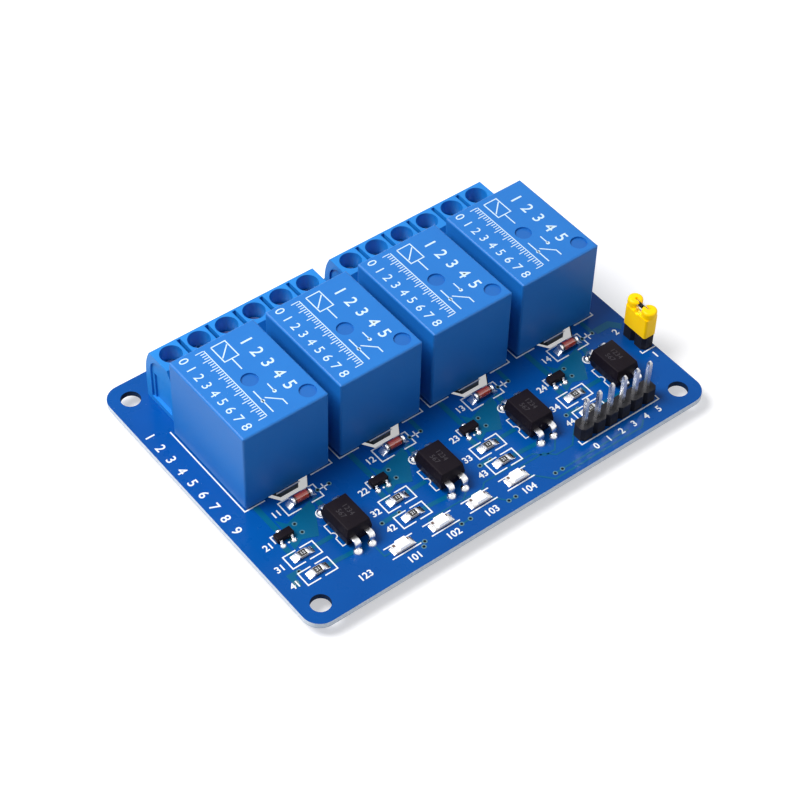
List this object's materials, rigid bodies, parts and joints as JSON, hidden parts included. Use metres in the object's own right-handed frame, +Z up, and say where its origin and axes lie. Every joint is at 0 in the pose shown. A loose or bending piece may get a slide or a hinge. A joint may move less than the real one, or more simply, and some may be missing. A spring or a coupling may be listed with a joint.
{
  "type": "relay board",
  "caption": "Circuit board with a row of sealed relays, screw terminal blocks behind them, and optocouplers, lamps and pin headers in front, for switching loads from logic signals.",
  "frame": {"origin": "under the middle of the board, on the plane that the pin tails stand on", "axes": "+X along the row of relays, to the right; +Y from the pin header towards the screw terminals; +Z up, from the solder side to the parts"},
  "size_m": [0.076, 0.056, 0.0185],
  "materials": {
    "board": "glossy blue solder mask over glass-fibre laminate",
    "relay_plastic": "satin blue moulding",
    "relay_base_plastic": "dark blue moulding",
    "terminal_plastic": "satin light blue moulding",
    "terminal_screw": "bright zinc plate",
    "terminal_clamp": "plated steel",
    "tinned_pins": "bright tin plate",
    "black_resin": "matt moulding resin",
    "diode_glass": "clear glass with tinned caps",
    "resistor_ceramic": "glazed ceramic with tinned ends",
    "lamp_resin": "clear resin on a white carrier",
    "header_plastic": "black moulding",
    "jumper_plastic": "yellow moulding",
    "solder": "bright solder"
  },
  "bodies": {
    "root": {"circuit_board": "board", "relay_case_1": "relay_plastic", "relay_case_2": "relay_plastic", "relay_case_3": "relay_plastic", "relay_case_4": "relay_plastic", "relay_base_1": "relay_base_plastic", "relay_base_2": "relay_base_plastic", "relay_base_3": "relay_base_plastic", "relay_base_4": "relay_base_plastic", "relay_pins_1": "tinned_pins", "relay_pins_2": "tinned_pins", "relay_pins_3": "tinned_pins", "relay_pins_4": "tinned_pins", "terminal_housing_left": "terminal_plastic", "terminal_housing_right": "terminal_plastic", "terminal_screws_left": "terminal_screw", "terminal_screws_right": "terminal_screw", "terminal_clamps_left": "terminal_clamp", "terminal_clamps_right": "terminal_clamp", "terminal_pins_left": "tinned_pins", "terminal_pins_right": "tinned_pins", "optocoupler_1": "black_resin", "optocoupler_2": "black_resin", "optocoupler_3": "black_resin", "optocoupler_4": "black_resin", "optocoupler_leads_1": "tinned_pins", "optocoupler_leads_2": "tinned_pins", "optocoupler_leads_3": "tinned_pins", "optocoupler_leads_4": "tinned_pins", "diode_1": "diode_glass", "diode_2": "diode_glass", "diode_3": "diode_glass", "diode_4": "diode_glass", "transistor_1": "black_resin", "transistor_2": "black_resin", "transistor_3": "black_resin", "transistor_4": "black_resin", "front_resistor_1": "resistor_ceramic", "front_resistor_2": "resistor_ceramic", "front_resistor_3": "resistor_ceramic", "front_resistor_4": "resistor_ceramic", "rear_resistor_1": "resistor_ceramic", "rear_resistor_2": "resistor_ceramic", "rear_resistor_3": "resistor_ceramic", "rear_resistor_4": "resistor_ceramic", "indicator_lamp_1": "lamp_resin", "indicator_lamp_2": "lamp_resin", "indicator_lamp_3": "lamp_resin", "indicator_lamp_4": "lamp_resin", "input_header_strip": "header_plastic", "input_header_pins": "tinned_pins", "jumper_header_strip": "header_plastic", "jumper_header_pins": "tinned_pins", "jumper_cap": "jumper_plastic", "jumper_clip": "tinned_pins", "solder_joints": "solder", "solder_fillets": "solder"}
  },
  "joints": []
}
